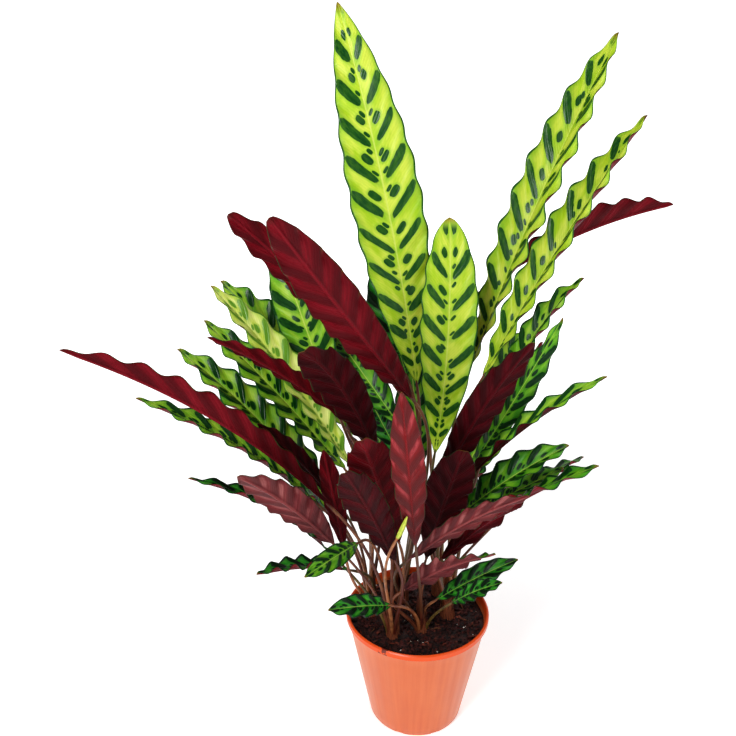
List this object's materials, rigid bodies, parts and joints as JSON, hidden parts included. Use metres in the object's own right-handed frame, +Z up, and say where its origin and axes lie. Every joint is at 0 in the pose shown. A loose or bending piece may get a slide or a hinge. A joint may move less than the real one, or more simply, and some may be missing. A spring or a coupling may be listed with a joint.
{
  "type": "potted rattlesnake plant",
  "caption": "Prayer-family foliage plant with long waved leaves, oval dark markings above and burgundy beneath, in a tapered plastic nursery pot.",
  "frame": {"origin": "middle of the pot's underside", "axes": "+Z up along the pot's axis; -Y is the front that the picture shows; +X to its right"},
  "size_m": [0.6158, 0.4308, 0.8155],
  "materials": {
    "pot_plastic": "satin orange terracotta-coloured moulded plastic with faint vertical streaks",
    "potting_soil": "loose dark peat and bark mix with white grains",
    "leaf_stalk": "smooth living stalk, tan below and red at the joint under the blade",
    "leaf_blade": "satin leaf, lime to mid green with dark green ovals above, burgundy beneath"
  },
  "bodies": {
    "root": {"blade_back_high_left": "leaf_blade", "blade_back_high_mid": "leaf_blade", "blade_back_high_right": "leaf_blade", "blade_back_low_left": "leaf_blade", "blade_back_low_mid": "leaf_blade", "blade_back_low_right": "leaf_blade", "blade_back_side_right": "leaf_blade", "blade_behind_centre_green": "leaf_blade", "blade_behind_left_green": "leaf_blade", "blade_behind_mid_green": "leaf_blade", "blade_behind_mid_green_low": "leaf_blade", "blade_behind_top_green": "leaf_blade", "blade_centre_dark_red": "leaf_blade", "blade_centre_left_red": "leaf_blade", "blade_centre_left_red_back": "leaf_blade", "blade_centre_red": "leaf_blade", "blade_far_left_green": "leaf_blade", "blade_far_left_red": "leaf_blade", "blade_high_right": "leaf_blade", "blade_high_right_front": "leaf_blade", "blade_left_green": "leaf_blade", "blade_left_high_green": "leaf_blade", "blade_left_mid_red": "leaf_blade", "blade_left_narrow_red": "leaf_blade", "blade_left_red_spear": "leaf_blade", "blade_left_upper_green": "leaf_blade", "blade_left_yellow": "leaf_blade", "blade_low_left_green_in": "leaf_blade", "blade_low_left_green_out": "leaf_blade", "blade_low_left_green_tip": "leaf_blade", "blade_low_left_pink": "leaf_blade", "blade_low_right_green": "leaf_blade", "blade_low_right_green_under": "leaf_blade", "blade_low_right_red": "leaf_blade", "blade_mid_left_dark_red": "leaf_blade", "blade_new_leaf_roll": "leaf_blade", "blade_pot_left_green": "leaf_blade", "blade_right_back_red": "leaf_blade", "blade_right_edge": "leaf_blade", "blade_right_green": "leaf_blade", "blade_right_green_behind": "leaf_blade", "blade_right_lime_tip": "leaf_blade", "blade_right_long_red": "leaf_blade", "blade_right_low_green": "leaf_blade", "blade_right_low_green_back": "leaf_blade", "blade_right_low_red": "leaf_blade", "blade_right_low_twist": "leaf_blade", "blade_right_narrow_green": "leaf_blade", "blade_tall_second": "leaf_blade", "blade_tall_top": "leaf_blade", "blade_upper_left_red": "leaf_blade", "blade_upper_left_red_back": "leaf_blade", "pot": "pot_plastic", "soil": "potting_soil", "stalks_back_middle": "leaf_stalk", "stalks_back_right": "leaf_stalk", "stalks_front_left": "leaf_stalk", "stalks_front_middle": "leaf_stalk", "stalks_left": "leaf_stalk", "stalks_right": "leaf_stalk"}
  },
  "joints": []
}
